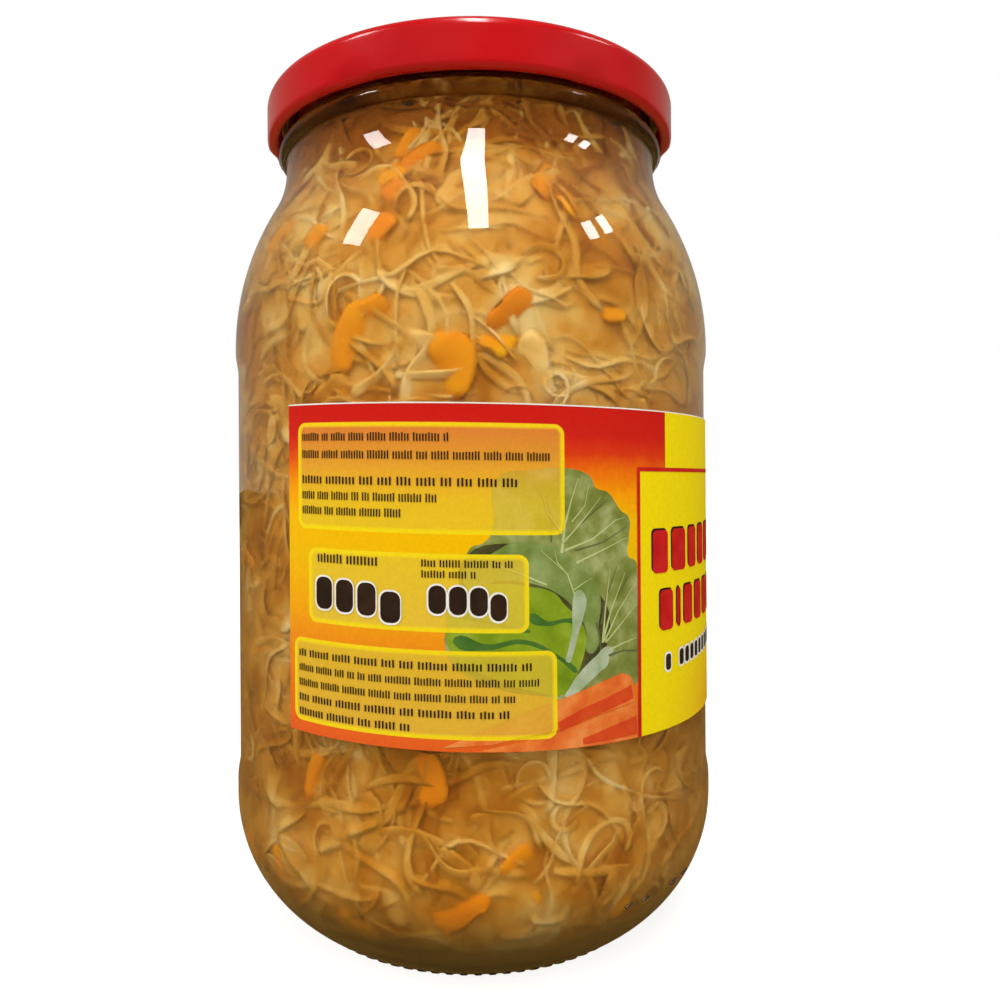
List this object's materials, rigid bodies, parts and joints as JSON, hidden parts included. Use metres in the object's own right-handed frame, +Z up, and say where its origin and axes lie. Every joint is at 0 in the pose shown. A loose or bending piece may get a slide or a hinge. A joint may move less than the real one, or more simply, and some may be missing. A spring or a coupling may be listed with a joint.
{
  "type": "sauerkraut jar",
  "caption": "Clear glass jar with a rounded heel, a recessed label panel, a narrowed neck and a twist-off metal lid, filled with shredded sauerkraut.",
  "frame": {"origin": "middle of the foot, on the surface the jar stands on", "axes": "+Z up along the jar's axis; the label's side with the three text boxes faces -Y"},
  "size_m": [0.098, 0.098, 0.1645],
  "materials": {
    "clear_glass": "clear, glossy, slightly green where thick",
    "red_lacquer": "glossy red lacquer on tinplate",
    "printed_paper": "smooth printed paper, red to yellow with plain shapes",
    "sauerkraut": "wet, translucent shredded cabbage in brine, golden beige"
  },
  "bodies": {
    "root": {"jar_glass": "clear_glass", "lid": "red_lacquer", "label": "printed_paper", "contents": "sauerkraut"}
  },
  "joints": []
}
